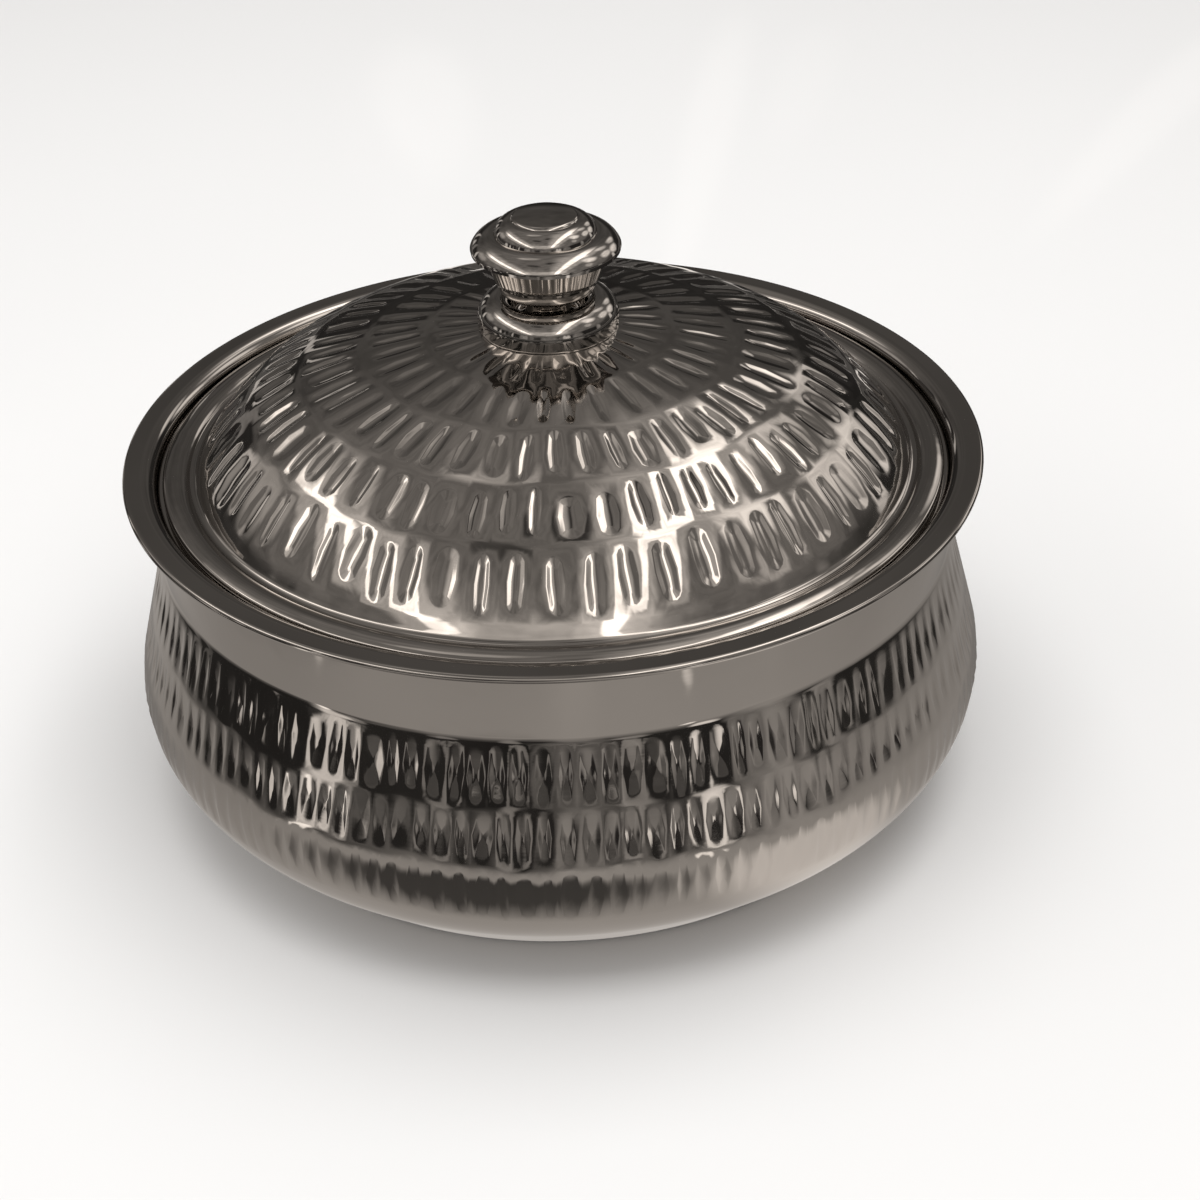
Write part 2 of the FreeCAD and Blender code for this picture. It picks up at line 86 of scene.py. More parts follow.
def select_only(*pieces):
    bpy.ops.object.select_all(action="DESELECT")
    for piece in pieces:
        piece.select_set(True)
    bpy.context.view_layer.objects.active = pieces[0]


def spun(name, outline, steps=SHEET_STEPS, closed=True):
    """A wall spun from an outline; a closed outline meets itself, an open one ends at its edges."""
    mesh = bpy.data.meshes.new(name)
    edges = [(k, k + 1) for k in range(len(outline) - 1)]
    if closed:
        edges.append((len(outline) - 1, 0))
    # An edge along the axis would stay behind as a loose wire.
    edges = [(k, m) for k, m in edges if outline[k][0] > 0 or outline[m][0] > 0]
    mesh.from_pydata([(r * MM, 0, z * MM) for r, z in outline], edges, [])
    piece = bpy.data.objects.new(name, mesh)
    bpy.context.collection.objects.link(piece)
    select_only(piece)
    bpy.ops.object.mode_set(mode="EDIT")
    bpy.ops.mesh.select_all(action="SELECT")
    bpy.ops.mesh.spin(steps=steps, angle=math.tau, center=(0, 0, 0), axis=(0, 0, 1))
    bpy.ops.mesh.select_all(action="SELECT")
    bpy.ops.mesh.remove_doubles(threshold=WELD * MM)
    bpy.ops.mesh.normals_make_consistent(inside=False)
    bpy.ops.object.mode_set(mode="OBJECT")
    return piece


CREASE = 35                 # a bend between two faces that is sharper than this stays sharp


def polished_shading(piece, flats=True):
    """Smooth shading; where large faces lead it, flats stay flat in the mirror finish."""
    select_only(piece)
    bpy.ops.object.shade_smooth_by_angle(angle=math.radians(CREASE))
    if not flats:
        return
    bpy.ops.object.modifier_add(type="WEIGHTED_NORMAL")
    piece.modifiers[-1].keep_sharp = True
    bpy.ops.object.modifier_apply(modifier=piece.modifiers[-1].name)


MARK_CORNERS = 16           # points round the edge of a hammer mark
MARK_STEPS = ((0.1, 0.2), (0.13, 0.45))     # steps down into it: share of its width, share of its depth
PATCH_CORNER = 45           # degrees round the end of a mark to the point that the patch's corner takes
CORNER_SLACK = 5            # degrees within which a point counts as that one
MIDDLE = 0.001              # share of a mark's width within which a point is level with its middle


def hammer_mark(width, length, depth, ease, pitch, band):
    """One mark of the hammer in the middle of its own flat patch of sheet, as wide as the pitch and as
    long as the band.

    Its ends slope evenly: at its full depth it is shorter by the ease, a share of its length."""
    bpy.ops.object.select_all(action="DESELECT")
    bpy.ops.mesh.primitive_circle_add(
        vertices=MARK_CORNERS, radius=width / 2, fill_type="NGON", location=(0, 0, 0)
    )
    mark = bpy.context.object
    stretch = (length - width) / 2
    for corner in mark.data.vertices:
        if abs(corner.co.y) > MIDDLE * width:
            corner.co.y += math.copysign(stretch, corner.co.y)
    bpy.ops.object.mode_set(mode="EDIT")
    bpy.ops.mesh.select_all(action="SELECT")
    ring_length, down = length, 0
    for thickness, drop in MARK_STEPS:
        bpy.ops.mesh.inset(thickness=thickness * width, depth=-drop * depth)
        ring_length -= 2 * thickness * width
        down += drop
        share = min(1, length * (1 - ease * down) / ring_length)
        bpy.ops.transform.resize(value=(1, share, 1), center_override=(0, 0, 0))
        ring_length *= share
    # The floor of the mark is drawn in to a line along its middle.
    bpy.ops.mesh.extrude_region_move()
    share = length * (1 - ease) / ring_length
    bpy.ops.transform.resize(value=(0, share, 1), center_override=(0, 0, 0))
    bpy.ops.transform.translate(value=(0, 0, -depth * (1 - down)))
    bpy.ops.mesh.delete(type="ONLY_FACE")
    bpy.ops.mesh.select_all(action="SELECT")
    bpy.ops.mesh.remove_doubles(threshold=WELD)
    # The sheet round the mark reaches to the border of the patch.
    bpy.ops.mesh.select_all(action="DESELECT")
    bpy.ops.mesh.select_mode(type="EDGE")
    bpy.ops.mesh.select_non_manifold()
    bpy.ops.mesh.extrude_edges_move()
    bpy.ops.object.mode_set(mode="OBJECT")
    for corner in mark.data.vertices:
        if not corner.select:
            continue
        x, y = corner.co.x, corner.co.y
        slant = math.degrees(math.atan2(max(abs(y) - stretch, 0), abs(x)))
        if slant < PATCH_CORNER + CORNER_SLACK:
            corner.co.x = math.copysign(pitch / 2, x)
        else:
            corner.co.x = x * pitch / (width * math.cos(math.radians(PATCH_CORNER)))
        if slant > PATCH_CORNER - CORNER_SLACK:
            corner.co.y = math.copysign(band / 2, y)
    return mark


WANDER = 1.4                # how far the marks stray from their ring
WANDER_SIZE = 9             # over how long a way they stray to one side
WANDER_EASE = 0.25          # share of the way in from the first and last line to where they stray fully


def strayed(face, along, azimuth, first, last):
    """Where the hammering by eye puts a point of a ring: less off its place towards the ends."""
    r, z = face(along)[:2]
    share = min(along - first, last - along) / (last - first)
    hold = max(min(1, share / WANDER_EASE), 0)
    place = Vector((r * math.cos(azimuth), r * math.sin(azimuth), z)) / WANDER_SIZE
    return along + WANDER * hold * noise.noise(place)


SEAM = 0.5                  # plain strip between two rows of marks
REACH = (0.9, 1.0)          # least and greatest length of a mark, as a share of what its row gives it
SLIDE = 0.85                # how far it lies off the middle of its patch, as a share of the room for it
SWING = 0.03                # how far it leans, in radians: two in three marks lean less
WEIGHT = (0.6, 1.0)         # least and greatest depth, as a share of its row's depth
SHOULDER = 0.03             # how far its edge is drawn in with it, as a share of that depth
BORDER = 0.499              # share of a patch's size past which a point is on the border of the patch
ROW_WELD = 0.01             # points of two patches that lie closer than this are one


def hammered_row(face, lines, k, count, fill, gap, depth, ease, taper, chance, unevenness, narrowest):
    """A row of hammer marks round a wall, from one of the lines between the rows to the next.

    The marks fill a share of their pitch, and their length leaves the gap free. They are shorter by the
    ease at their full depth and narrower by the taper at their ends. The unevenness of the pitch and the
    breadth of the narrowest mark are shares too. What differs from mark to mark is drawn by chance."""
    start, end = lines[k] + SEAM / 2, lines[k + 1] - SEAM / 2
    band = end - start
    middle = (start + end) / 2
    middle_radius = face(middle)[0]
    pitch = math.tau * middle_radius / count
    row = hammer_mark(fill * pitch, band - gap, depth, ease, pitch, band)
    select_only(row)
    bpy.ops.object.modifier_add(type="ARRAY")
    array = row.modifiers[-1]
    array.count = count
    array.use_relative_offset = False
    array.use_constant_offset = True
    array.constant_offset_displace = (pitch, 0, 0)
    array.use_merge_vertices = True
    bpy.ops.object.modifier_apply(modifier=array.name)
    # No two marks are struck alike.
    edges = [(nth + unevenness * chance.uniform(-1, 1)) * math.tau / count for nth in range(count)]
    edges.append(edges[0] + math.tau)
    blows = []
    for _ in range(count):
        reach = chance.uniform(*REACH)
        spare = (band - (band - gap) * reach) / 2
        slide = spare * chance.uniform(-SLIDE, SLIDE)
        swing = chance.gauss(0, SWING)
        breadth = chance.uniform(narrowest, 1.0)
        weight = chance.uniform(*WEIGHT)
        blows.append((swing, slide, breadth, weight, reach))
    for corner in row.data.vertices:
        nth = min(max(math.floor(corner.co.x / pitch + 0.5), 0), count - 1)
        x, y, height = corner.co.x - nth * pitch, corner.co.y, corner.co.z
        patch = edges[nth + 1] - edges[nth]
        if abs(x) > BORDER * pitch or abs(y) > BORDER * band:
            azimuth = edges[nth] + (x / pitch + 0.5) * patch
            along = middle + y
        else:
            swing, slide, breadth, weight, reach = blows[nth]
            breadth *= 1 - taper * (2 * y / (band - gap)) ** 2
            across = (x * breadth - swing * y) * patch * count / math.tau
            along = middle + slide + y * reach + swing * x
            narrowing = math.sqrt(middle_radius / face(along)[0])
            azimuth = (edges[nth] + edges[nth + 1]) / 2 + across / middle_radius * narrowing
            height = (height - SHOULDER * depth) * weight
        r, z, out_r, out_z = face(strayed(face, along, azimuth, lines[0], lines[-1]))
        r += out_r * height
        z += out_z * height
        corner.co = Vector((r * math.cos(azimuth), r * math.sin(azimuth), z)) * MM
    bpy.ops.object.mode_set(mode="EDIT")
    bpy.ops.mesh.select_all(action="SELECT")
    bpy.ops.mesh.remove_doubles(threshold=ROW_WELD * MM)
    bpy.ops.object.mode_set(mode="OBJECT")
    return row


def seam_at(face, along):
    """Tests whether a point lies on the plain strip at a distance along a wall's face."""
    ring = Vector(face(along)[:2])
    return lambda point: (Vector((point.xy.length, point.z)) - ring).length < SEAM + WANDER


def joined_rows(wall, rows, seams):
    """Joins hammered rows into the wall they belong to, and closes the plain strips between them."""
    select_only(wall, *rows)
    bpy.ops.object.join()
    bpy.ops.object.mode_set(mode="EDIT")
    bpy.ops.mesh.select_mode(type="EDGE")
    for seam in seams:
        bpy.ops.mesh.select_all(action="DESELECT")
        sheet = bmesh.from_edit_mesh(wall.data)
        for edge in sheet.edges:
            edge.select = edge.is_boundary and all(seam(corner.co / MM) for corner in edge.verts)
        bmesh.update_edit_mesh(wall.data)
        bpy.ops.mesh.bridge_edge_loops()
    bpy.ops.mesh.select_all(action="SELECT")
    bpy.ops.mesh.normals_make_consistent(inside=False)
    bpy.ops.object.mode_set(mode="OBJECT")


SHELL_GAUGE = 0.8
RECESS_RISE, RECESS_RADIUS, RECESS_EDGE = 2.5, 82, 86
FILL_HOLE = 8
FOOT_CORNER, FOOT_BEND, CONE_ANGLE = 99.1, 3, 45
BELLY_CENTRE, BELLY_HEIGHT, BELLY_BEND = 94.4, 35.2, 28.2
SHOULDER_LEAN = 15.2
CREASE_RADIUS, NECK_RADIUS, FLARE_HEIGHT, FLARE_BEND = 112.2, 112.4, 97, 2.5
FLANGE_END = 118.8
BELLY_ROWS = (76, 59, 44)   # heights where the rows start, from the top
LAST_ROW_ANGLE = -19        # degrees round the belly where the lowest row ends
BELLY_STEP = 3              # degrees from ring to ring of the belly below the marks
BEHIND_BELLY = 25           # steps of the sheet's inner face behind the marks
# For each row: number of marks, share of the pitch, gap, depth, ease and taper
BELLY_BLOWS = (
    (130, 0.92, 0.3, 0.46, 0.94, 0.25),
    (138, 0.93, 0.2, 0.46, 0.94, 0.25),
    (134, 0.95, 0.3, 0.6, 0.85, 0.5),
)
BELLY_SEED = 11             # which run of chance the marks follow

lean = math.radians(SHOULDER_LEAN)
shoulder_top_r = BELLY_CENTRE + BELLY_BEND * math.cos(lean)
shoulder_top_z = BELLY_HEIGHT + BELLY_BEND * math.sin(lean)
crease_height = shoulder_top_z + (shoulder_top_r - CREASE_RADIUS) / math.tan(lean)
shoulder_length = (crease_height - shoulder_top_z) / math.cos(lean)


def belly_face(along):
    """Point and outward direction on the belly, at a distance down from the crease."""
    if along < shoulder_length:
        r = CREASE_RADIUS + along * math.sin(lean)
        return r, crease_height - along * math.cos(lean), math.cos(lean), math.sin(lean)
    angle = lean - (along - shoulder_length) / BELLY_BEND
    out_r, out_z = math.cos(angle), math.sin(angle)
    return BELLY_CENTRE + BELLY_BEND * out_r, BELLY_HEIGHT + BELLY_BEND * out_z, out_r, out_z


def face_points(face, start, end, steps):
    """Points on a wall's face from one distance along it to another, both of them included."""
    return [face(start + (end - start) * k / steps)[:2] for k in range(steps + 1)]


row_lines = [(crease_height - z) / math.cos(lean) for z in BELLY_ROWS]
row_lines.append(shoulder_length + BELLY_BEND * (lean - math.radians(LAST_ROW_ANGLE)))

foot_tangent = FOOT_BEND * math.tan(math.radians(CONE_ANGLE / 2))
base = [(FILL_HOLE, RECESS_RISE)]
run(base, RECESS_RADIUS, RECESS_RISE)
run(base, RECESS_EDGE, 0)
run(base, FOOT_CORNER - foot_tangent, 0)
bend(base, FOOT_BEND, 0, CONE_ANGLE)
cone = math.radians(CONE_ANGLE)
run(base, BELLY_CENTRE + BELLY_BEND * math.sin(cone), BELLY_HEIGHT - BELLY_BEND * math.cos(cone))
bend(base, BELLY_BEND, CONE_ANGLE, 90 + LAST_ROW_ANGLE, step=BELLY_STEP)
behind_marks = face_points(belly_face, row_lines[0], row_lines[-1], BEHIND_BELLY)[-2:0:-1]
neck = [belly_face(row_lines[0])[:2]]
run(neck, CREASE_RADIUS, crease_height)
run(neck, NECK_RADIUS, FLARE_HEIGHT)
bend(neck, FLARE_BEND, 90, 0)
run(neck, FLANGE_END, FLARE_HEIGHT + FLARE_BEND)

inner_face = back_face(base + behind_marks + neck, SHELL_GAUGE)
outer_shell = spun("hammered_shell", neck + inner_face[::-1] + base, closed=False)
chance = random.Random(BELLY_SEED)
belly_marks = [
    hammered_row(belly_face, row_lines, k, *blows, chance, unevenness=0.16, narrowest=0.7)
    for k, blows in enumerate(BELLY_BLOWS)
]
joined_rows(outer_shell, belly_marks, [seam_at(belly_face, along) for along in row_lines])
polished_shading(outer_shell, flats=False)


def noise_of(nodes, links, source, scale, detail, stretch=(1, 1, 1)):
    """A noise over the piece's own coordinates; a stretch above 1 makes it finer along that axis."""
    mapping = nodes.new("ShaderNodeMapping")
    mapping.inputs["Scale"].default_value = stretch
    links.new(source, mapping.inputs["Vector"])
    texture = nodes.new("ShaderNodeTexNoise")
    texture.inputs["Scale"].default_value = scale
    texture.inputs["Detail"].default_value = detail
    links.new(mapping.outputs["Vector"], texture.inputs["Vector"])
    return texture.outputs["Fac"]


NOISE_LOW, NOISE_HIGH = 0.35, 0.65      # a noise seldom goes past these


def spread(nodes, links, value, low, high):
    """A noise spread over a range of values."""
    span = nodes.new("ShaderNodeMapRange")
    span.inputs["From Min"].default_value = NOISE_LOW
    span.inputs["From Max"].default_value = NOISE_HIGH
    span.inputs["To Min"].default_value = low
    span.inputs["To Max"].default_value = high
    links.new(value, span.inputs["Value"])
    return span.outputs["Result"]


def raised(nodes, links, height, distance, base=None):
    """A bump of that height in metres, over another bump if one is given."""
    bump = nodes.new("ShaderNodeBump")
    bump.inputs["Strength"].default_value = 1
    bump.inputs["Distance"].default_value = distance
    links.new(height, bump.inputs["Height"])
    if base:
        links.new(base, bump.inputs["Normal"])
    return bump.outputs["Normal"]


def blank_material(name):
    """A new material with its nodes, its links and its shader."""
    material = bpy.data.materials.new(name)
    material.use_nodes = True
    nodes, links = material.node_tree.nodes, material.node_tree.links
    return material, nodes, links, nodes["Principled BSDF"]


HAIR_LINES = (900, 2)       # scale and detail of the mop's hair lines
HAIR_DEPTH = 0.0000025      # m
SMEARS = (38, 4)            # scale and detail of the places that are polished less


def polished_steel(name, colour, gloss, waviness, wave_scale):
    """Stainless steel off the polishing mop: a mirror with hair lines round it and a faint unevenness.

    The gloss is its least and greatest roughness, and the waviness the height of its waves in metres."""
    material, nodes, links, shader = blank_material(name)
    shader.inputs["Base Color"].default_value = (*colour, 1)
    shader.inputs["Metallic"].default_value = 1
    place = nodes.new("ShaderNodeTexCoord").outputs["Object"]
    # Height and distance from the axis stay the same along a line that goes round the piece.
    apart = nodes.new("ShaderNodeSeparateXYZ")
    links.new(place, apart.inputs["Vector"])
    flat = nodes.new("ShaderNodeCombineXYZ")
    links.new(apart.outputs["X"], flat.inputs["X"])
    links.new(apart.outputs["Y"], flat.inputs["Y"])
    distance = nodes.new("ShaderNodeVectorMath")
    distance.operation = "LENGTH"
    links.new(flat.outputs["Vector"], distance.inputs[0])
    ring = nodes.new("ShaderNodeCombineXYZ")
    links.new(distance.outputs["Value"], ring.inputs["X"])
    links.new(apart.outputs["Z"], ring.inputs["Y"])
    hair_lines = noise_of(nodes, links, ring.outputs["Vector"], *HAIR_LINES)
    smears = noise_of(nodes, links, place, *SMEARS)
    links.new(spread(nodes, links, smears, *gloss), shader.inputs["Roughness"])
    waves = raised(nodes, links, noise_of(nodes, links, place, wave_scale, detail=1), waviness)
    links.new(raised(nodes, links, hair_lines, HAIR_DEPTH, waves), shader.inputs["Normal"])
    return material


# The steel's grey is darker than bare stainless steel. It is partly the metal's own tone and partly
# painted shade, which stands in for a dark room mirrored in it.
STEEL_WITH_PAINTED_SHADE = (0.47, 0.445, 0.42)
hammered_steel = polished_steel(
    "hammered_steel", STEEL_WITH_PAINTED_SHADE, gloss=(0.035, 0.08), waviness=0.0001, wave_scale=110
)
outer_shell.data.materials.append(hammered_steel)
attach(outer_shell, "body")
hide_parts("outer_shell")

# --------------------------------------------------------------------------------------------------
# Inner bowl
# The food well is one sheet of plain stainless steel, drawn deep with a seat for the lid. Its flared rim
# lies on the shell's flange and is folded under it, which makes the bright line round the top.
# --------------------------------------------------------------------------------------------------
BOWL_GAUGE = 0.6
TIGHT_STEP = 15             # degrees from ring to ring of a bend as tight as a fold
WELL_FLOOR, WELL_RADIUS, WELL_BEND = 22, 97, 14
MOUTH_RADIUS, MOUTH_BEND, SEAT_HEIGHT, SEAT_CORNER = 100.5, 4, 96, 1
HEM_CENTRE, HEM_RETURN = 119, 1.8

hem_bend = SHELL_GAUGE / 2 + BOWL_GAUGE
bowl_neck = NECK_RADIUS - SHELL_GAUGE - BOWL_GAUGE
well = [(0, WELL_FLOOR)]
run(well, WELL_RADIUS - WELL_BEND, WELL_FLOOR)
bend(well, WELL_BEND, 0, 90)
run(well, MOUTH_RADIUS, SEAT_HEIGHT - MOUTH_BEND)
bend(well, MOUTH_BEND, 90, 0)
run(well, bowl_neck - SEAT_CORNER, SEAT_HEIGHT)
bend(well, SEAT_CORNER, 0, 90, step=TIGHT_STEP)
bend(well, FLARE_BEND + SHELL_GAUGE + BOWL_GAUGE, 90, 0)
run(well, HEM_CENTRE, well[-1][1])
bend(well, hem_bend, 0, -180, step=TIGHT_STEP)
run(well, HEM_CENTRE - HEM_RETURN, well[-1][1])

inner_bowl = spun("inner_bowl_sheet", well + back_face(well, -BOWL_GAUGE)[::-1])
polished_shading(inner_bowl)
plain_steel = polished_steel(
    "polished_steel", STEEL_WITH_PAINTED_SHADE, gloss=(0.03, 0.07), waviness=0.00004, wave_scale=55
)
inner_bowl.data.materials.append(plain_steel)
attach(inner_bowl, "body")
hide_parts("inner_bowl")

# --------------------------------------------------------------------------------------------------
# Body insulation
# Rigid polyurethane foam that is poured between the shell and the bowl through the hole in the base. It
# sets in place, fills the whole hollow and holds the two sheets apart.
# --------------------------------------------------------------------------------------------------
FOAM_DARK, FOAM_PALE = (0.72, 0.56, 0.3), (0.86, 0.76, 0.52)
FOAM_CLOUDS = (60, 3)       # scale and detail of its darker and paler places
FOAM_CELLS = 900            # scale of its cells
FOAM_CELL_DEPTH = 0.0003    # m
FOAM_ROUGHNESS = 0.85

foam, nodes, links, shader = blank_material("foam")
foam_place = nodes.new("ShaderNodeTexCoord").outputs["Object"]
cells = nodes.new("ShaderNodeTexVoronoi")
cells.inputs["Scale"].default_value = FOAM_CELLS
links.new(foam_place, cells.inputs["Vector"])
clouds = noise_of(nodes, links, foam_place, *FOAM_CLOUDS)
tint = nodes.new("ShaderNodeMix")
tint.data_type = "RGBA"
tint.inputs["A"].default_value = (*FOAM_DARK, 1)
tint.inputs["B"].default_value = (*FOAM_PALE, 1)
links.new(spread(nodes, links, clouds, 0, 1), tint.inputs["Factor"])
links.new(tint.outputs["Result"], shader.inputs["Base Color"])
shader.inputs["Roughness"].default_value = FOAM_ROUGHNESS
links.new(raised(nodes, links, cells.outputs["Distance"], FOAM_CELL_DEPTH), shader.inputs["Normal"])


def dressed(node, material):
    """Gives a piece of the frame its finish."""
    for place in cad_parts[node].material_slots:
        place.link = "OBJECT"
        place.material = material


dressed("body_insulation", foam)

# --------------------------------------------------------------------------------------------------
# Base fill plug
# A moulded polyethylene plug that is pressed into the fill hole once the foam has set. It is held by the
# barb above the sheet, and its head lies flat inside the recess of the base.
# --------------------------------------------------------------------------------------------------
PLUG_BLACK = (0.015, 0.015, 0.017)
PLUG_SHEEN = 0.4
PLUG_GLOSS = (0.38, 0.55)   # least and greatest roughness
PLUG_GRAIN = (1400, 2)      # scale and detail of the mould's grain
PLUG_GRAIN_DEPTH = 0.00002  # m

plug_plastic, nodes, links, shader = blank_material("plug")
shader.inputs["Base Color"].default_value = (*PLUG_BLACK, 1)
shader.inputs["Specular IOR Level"].default_value = PLUG_SHEEN
plug_place = nodes.new("ShaderNodeTexCoord").outputs["Object"]
grain = noise_of(nodes, links, plug_place, *PLUG_GRAIN)
links.new(spread(nodes, links, grain, *PLUG_GLOSS), shader.inputs["Roughness"])
links.new(raised(nodes, links, grain, PLUG_GRAIN_DEPTH), shader.inputs["Normal"])
dressed("base_fill_plug", plug_plastic)

# --------------------------------------------------------------------------------------------------
# Lid cover
# The dome of the lid, one sheet of stainless steel with five rings of hammer marks that grow towards
# the edge. Outside them it is pressed into a plain channel and a bead, and its edge is folded under the
# liner.
# --------------------------------------------------------------------------------------------------
COVER_GAUGE = 0.8
STUD_HOLE = 3.3
CROWN_HEIGHT, CROWN_BEND, CROWN_SLOPE = 136.5, 215, 16.8
DOME_BEND, DOME_FOOT_ANGLE = 65.8, 59
CHANNEL_BEND, BEAD_INNER_BEND, BEAD_SLOPE, BEAD_BEND = 2, 1.2, 50, 4.2
BEAD_OUTER_BEND, BEAD_FALL = 8, 25
LINER_GAUGE = 0.6
LID_HEM_RETURN = 2
LID_ROWS = (17.6, 33.8, 52, 70.6, 88, 108.4)    # down the dome from its top, between the rings of marks
CROWN_STEPS, BEHIND_DOME, DOME_FOOT_STEPS = 6, 40, 4    # steps of the sheet above, behind and below them
BEAD_STEP = 5               # degrees from ring to ring of a wide bead
# For each ring: number of marks, share of the pitch, gap, depth, ease and taper
LID_BLOWS = (
    (28, 0.74, 0.8, 0.37, 0.6, 0.3),
    (37, 0.84, 1.2, 0.52, 0.6, 0.25),
    (50, 0.86, 1.7, 0.62, 0.5, 0.2),
    (60, 0.86, 2.3, 0.66, 0.46, 0.22),
    (62, 0.88, 2.4, 0.68, 0.44, 0.18),
)
LID_SEED = 5

crown_slope = math.radians(CROWN_SLOPE)
crown_length = CROWN_BEND * crown_slope
dome_centre_r = (CROWN_BEND - DOME_BEND) * math.sin(crown_slope)
dome_centre_z = CROWN_HEIGHT - CROWN_BEND + (CROWN_BEND - DOME_BEND) * math.cos(crown_slope)


def dome_face(along):
    """Point and outward direction on the dome, at a distance down from its top."""
    if along < crown_length:
        angle, reach, centre_r, centre_z = along / CROWN_BEND, CROWN_BEND, 0, CROWN_HEIGHT - CROWN_BEND
    else:
        angle = crown_slope + (along - crown_length) / DOME_BEND
        reach, centre_r, centre_z = DOME_BEND, dome_centre_r, dome_centre_z
    out_r, out_z = math.sin(angle), math.cos(angle)
    return centre_r + reach * out_r, centre_z + reach * out_z, out_r, out_z


foot_line = crown_length + DOME_BEND * (math.radians(DOME_FOOT_ANGLE) - crown_slope)
top = face_points(dome_face, STUD_HOLE, LID_ROWS[0], CROWN_STEPS)
under_marks = face_points(dome_face, LID_ROWS[0], LID_ROWS[-1], BEHIND_DOME)[1:-1]
skirt = face_points(dome_face, LID_ROWS[-1], foot_line, DOME_FOOT_STEPS)
bend(skirt, CHANNEL_BEND, -DOME_FOOT_ANGLE, 0)
bend(skirt, BEAD_INNER_BEND, 0, BEAD_SLOPE)
bend(skirt, BEAD_BEND, BEAD_SLOPE, 0, step=BEAD_STEP)
bend(skirt, BEAD_OUTER_BEND, 0, -BEAD_FALL, step=BEAD_STEP)
lid_hem_bend = LINER_GAUGE / 2 + COVER_GAUGE
bend(skirt, lid_hem_bend, -BEAD_FALL, -180, step=TIGHT_STEP)
run(skirt, skirt[-1][0] - LID_HEM_RETURN, skirt[-1][1])

under_face = back_face(top + under_marks + skirt, -COVER_GAUGE)
lid_cover = spun("hammered_lid", skirt + under_face[::-1] + top, closed=False)
chance = random.Random(LID_SEED)
lid_marks = [
    hammered_row(dome_face, LID_ROWS, k, *blows, chance, unevenness=0.2, narrowest=0.5)
    for k, blows in enumerate(LID_BLOWS)
]
joined_rows(lid_cover, lid_marks, [seam_at(dome_face, along) for along in LID_ROWS])
polished_shading(lid_cover, flats=False)
lid_cover.data.materials.append(hammered_steel)
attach(lid_cover, "lid")
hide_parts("lid_cover")

# --------------------------------------------------------------------------------------------------
# Lid liner
# The underside of the lid, a shallow dish of plain stainless steel that steps down into the mouth of the
# bowl. Its flange is held in the folded edge of the cover.
# --------------------------------------------------------------------------------------------------
LINER_SLOPE, LINER_WALL, LINER_BEND, LINER_CORNER = 22, 99.5, 3.5, 0.5
LINER_FLAT_END, LINER_RISE_END = 102, 105.4
DISH_STEP = 1.5             # degrees from ring to ring of the wide dish

# The liner lies flat under the lowest part of the cover's channel.
channel_floor = min(z for r, z in skirt if r < LINER_FLAT_END)
lid_hem = skirt[-1]
liner_flat = channel_floor - COVER_GAUGE - LINER_GAUGE
liner_slope = math.radians(LINER_SLOPE)
dish_end = (
    LINER_WALL - LINER_BEND * (1 + math.sin(liner_slope)),
    liner_flat - LINER_CORNER - LINER_BEND * math.cos(liner_slope),
)
dish_bend = dish_end[0] / math.sin(liner_slope)
liner = [(0, dish_end[1] + dish_bend * (1 - math.cos(liner_slope)))]
bend(liner, dish_bend, 0, -LINER_SLOPE, step=DISH_STEP)
bend(liner, LINER_BEND, -LINER_SLOPE, 90)
bend(liner, LINER_CORNER, 90, 0, step=TIGHT_STEP)
run(liner, LINER_FLAT_END, liner_flat)
run(liner, LINER_RISE_END, lid_hem[1] + COVER_GAUGE)
run(liner, lid_hem[0] + LID_HEM_RETURN, lid_hem[1] + COVER_GAUGE)

lid_liner = spun("lid_liner_sheet", liner + back_face(liner, LINER_GAUGE)[::-1])
polished_shading(lid_liner)
lid_liner.data.materials.append(plain_steel)
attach(lid_liner, "lid")
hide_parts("lid_liner")

# --------------------------------------------------------------------------------------------------
# Lid insulation
# The same rigid foam as in the body, which fills the hollow between the cover and the liner round the
# end of the knob's stud.
# --------------------------------------------------------------------------------------------------
dressed("lid_insulation", foam)

# --------------------------------------------------------------------------------------------------
# Knob base ring
# A pressed dish of polished stainless steel with a high rounded rim. Its edge stands on the dome, and
# the rim hides the neck of the knob that is drawn down into it.
# --------------------------------------------------------------------------------------------------
KNOB_STEPS = 128
RING_GAUGE = 0.8
RING_FLOOR, RING_DISH_BEND, RING_SLOPE, RING_WALL_RISE = 7.5, 2.5, 80, 2.6
RING_INNER_BEND, RING_BEAD_BEND, RING_SIDE_DROP = 3, 6, 2.3
RING_EDGE_BEND, RING_EDGE_SLOPE = 1, 120


def run_up(outline, slope, rise):
    """Carries an outline straight on up a slope by a rise."""
    r, z = outline[-1]
    run(outline, r + rise / math.tan(math.radians(slope)), z + rise)


ring_top = CROWN_HEIGHT + RING_GAUGE
dish = [(STUD_HOLE, ring_top)]
run(dish, RING_FLOOR, ring_top)
bend(dish, RING_DISH_BEND, 0, RING_SLOPE)
run_up(dish, RING_SLOPE, RING_WALL_RISE)
bend(dish, RING_INNER_BEND, RING_SLOPE, 0)
bend(dish, RING_BEAD_BEND, 0, -90, step=BEAD_STEP)
run(dish, dish[-1][0], dish[-1][1] - RING_SIDE_DROP)
bend(dish, RING_EDGE_BEND, -90, -RING_EDGE_SLOPE)
base_ring = spun("knob_base_dish", dish + back_face(dish, -RING_GAUGE)[::-1], KNOB_STEPS)
polished_shading(base_ring)
base_ring.data.materials.append(plain_steel)
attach(base_ring, "lid")
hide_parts("knob_base_ring")

